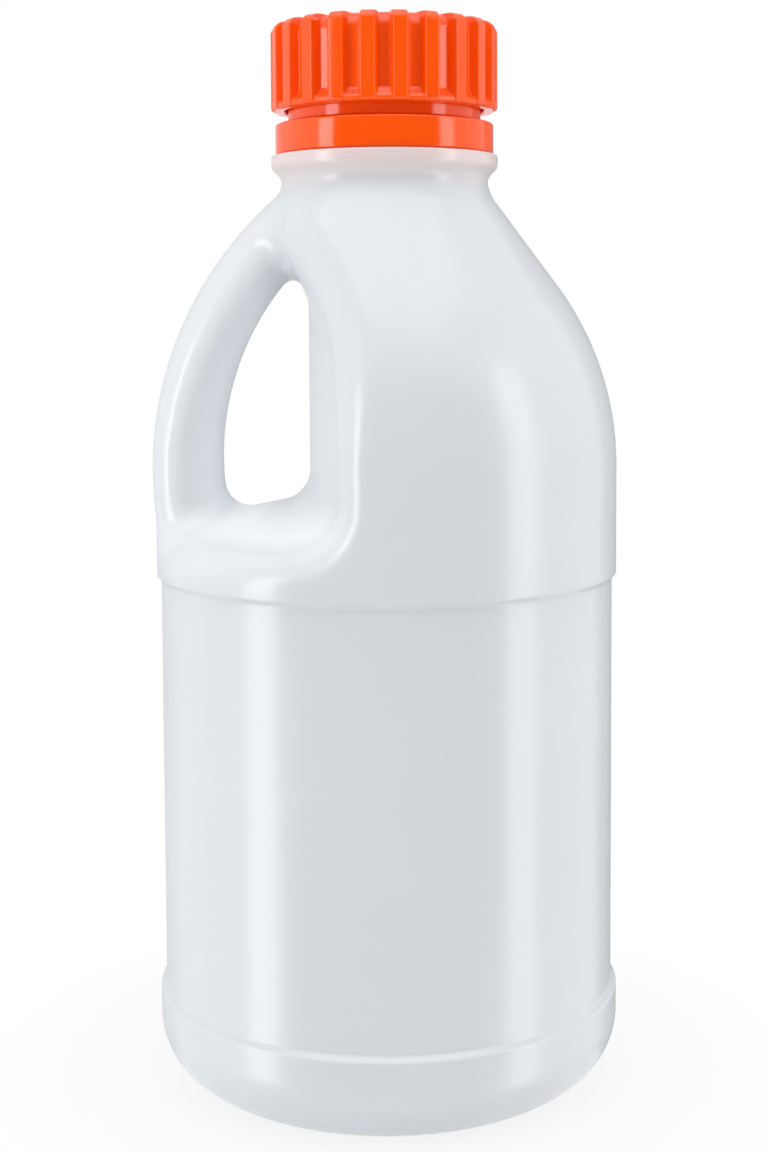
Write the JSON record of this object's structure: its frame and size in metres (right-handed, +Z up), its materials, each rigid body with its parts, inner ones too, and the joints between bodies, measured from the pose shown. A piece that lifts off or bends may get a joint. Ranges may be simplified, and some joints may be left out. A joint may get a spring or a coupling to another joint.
{
  "type": "detergent jug",
  "caption": "Round blown plastic jug with a hollow through handle, a recessed label panel, a threaded neck, a ribbed screw cap and a tamper band.",
  "frame": {"origin": "middle of the standing ring, on the surface that the jug stands on", "axes": "+Z up along the neck's axis, -X towards the handle, +Y to the back; the middle plane of the mould is y = 0"},
  "size_m": [0.1177, 0.1172, 0.2652],
  "materials": {
    "jug_plastic": "pearl white, semi-gloss",
    "cap_plastic": "orange, gloss",
    "liner_foam": "white closed-cell foam"
  },
  "bodies": {
    "jug": {"jug_body": "jug_plastic", "tamper_band": "cap_plastic"},
    "liner": {"sealing_liner": "liner_foam"},
    "cap": {"screw_cap": "cap_plastic"}
  },
  "joints": [
    {"name": "cap_lift", "type": "slide", "parent": "jug", "child": "liner", "axis": [0, 0, 1], "range_m": [0, 0.0075]},
    {"name": "cap_turn", "type": "hinge", "parent": "liner", "child": "cap", "pos_m": [0, 0, 0.25], "axis": [0, 0, 1], "range_deg": [0, 540]}
  ],
  "couplings": [
    {"joint": "cap_turn", "follows": "cap_lift", "rad_per_m": 1256.6}
  ]
}
